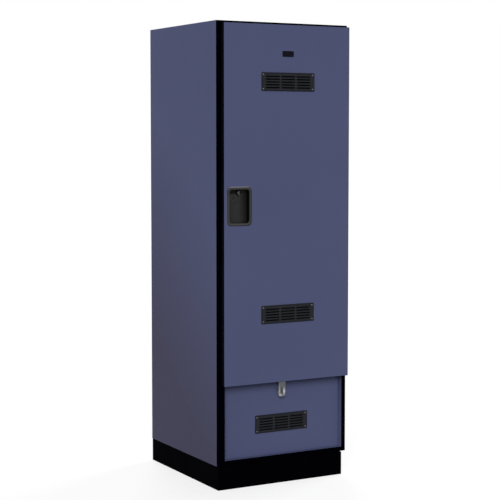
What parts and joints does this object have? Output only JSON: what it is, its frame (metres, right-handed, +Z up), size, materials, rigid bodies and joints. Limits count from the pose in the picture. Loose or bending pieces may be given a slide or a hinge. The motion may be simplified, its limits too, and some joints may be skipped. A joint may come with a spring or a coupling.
{
  "type": "tall wooden locker with foot locker",
  "caption": "Tall laminate-board locker with a vented hinged door, recessed padlock handle, hat shelf, coat rod and a lidded foot locker on a plinth.",
  "frame": {"origin": "centre of the outer box, on the floor", "axes": "+Z up; the front faces -Y; +X to the right as seen from the front"},
  "size_m": [0.6286, 0.6532, 1.9304],
  "materials": {
    "blue_laminate": "matt blue-violet laminate on board",
    "black_laminate": "matt black laminate on board",
    "edge_band": "black edge banding",
    "black_plastic": "fine-grained black plastic",
    "zinc_steel": "bright zinc-plated steel",
    "chrome": "polished",
    "bumper": "clear soft plastic"
  },
  "bodies": {
    "carcass": {"end_panel": "blue_laminate", "end_panel_edge_band": "edge_band", "left_side": "blue_laminate", "left_side_edge_band": "edge_band", "right_side": "blue_laminate", "right_side_edge_band": "edge_band", "bottom_panel": "blue_laminate", "bottom_panel_edge_band": "edge_band", "top_panel": "blue_laminate", "top_panel_edge_band": "edge_band", "back_panel": "blue_laminate", "hat_shelf": "blue_laminate", "hat_shelf_edge_band": "edge_band", "shelf_pin_left_front": "zinc_steel", "shelf_pin_left_rear": "zinc_steel", "shelf_pin_right_front": "zinc_steel", "shelf_pin_right_rear": "zinc_steel", "plinth_front": "black_laminate", "plinth_rear": "black_laminate", "plinth_left": "black_laminate", "plinth_right": "black_laminate", "coat_rod": "chrome", "rod_flange_left": "zinc_steel", "rod_flange_right": "zinc_steel", "coat_hook_left": "chrome", "coat_hook_right": "chrome", "footlocker_front": "blue_laminate", "footlocker_vent": "black_plastic", "lid_rail": "blue_laminate", "lid_hinge_fixed_leaf": "zinc_steel", "lid_hinge_pin": "zinc_steel", "hasp_staple": "zinc_steel", "door_bumper_lower": "bumper", "door_bumper_upper": "bumper", "padlock_eye": "zinc_steel", "hinge_arm_lower": "zinc_steel", "hinge_arm_middle": "zinc_steel", "hinge_arm_upper": "zinc_steel"},
    "door": {"door": "blue_laminate", "door_edge_band": "edge_band", "upper_vent": "black_plastic", "lower_vent": "black_plastic", "number_plate": "black_plastic", "handle_cup": "black_plastic", "cup_backing_plate": "zinc_steel", "cup_screw_left": "zinc_steel", "cup_screw_right": "zinc_steel", "hinge_cup_lower": "zinc_steel", "hinge_cup_middle": "zinc_steel", "hinge_cup_upper": "zinc_steel", "hinge_pin_lower": "zinc_steel", "hinge_pin_middle": "zinc_steel", "hinge_pin_upper": "zinc_steel"},
    "lid": {"footlocker_lid": "blue_laminate", "footlocker_lid_edge_band": "edge_band", "lid_hinge_moving_leaf": "zinc_steel", "hasp_leaf": "zinc_steel", "hasp_pin": "zinc_steel"},
    "strap": {"hasp_strap": "zinc_steel"}
  },
  "joints": [
    {"name": "door_swing", "type": "hinge", "parent": "carcass", "child": "door", "pos_m": [0.30773, -0.314, 1.1765], "axis": [0, 0, 1], "range_deg": [0, 95]},
    {"name": "lid_lift", "type": "hinge", "parent": "carcass", "child": "lid", "pos_m": [0.00953, 0.2449, 0.4604], "axis": [-1, 0, 0], "range_deg": [0, 95]},
    {"name": "hasp_swing", "type": "hinge", "parent": "lid", "child": "strap", "pos_m": [0.00267, -0.293, 0.43395], "axis": [-1, 0, 0], "range_deg": [-13, 60]}
  ]
}
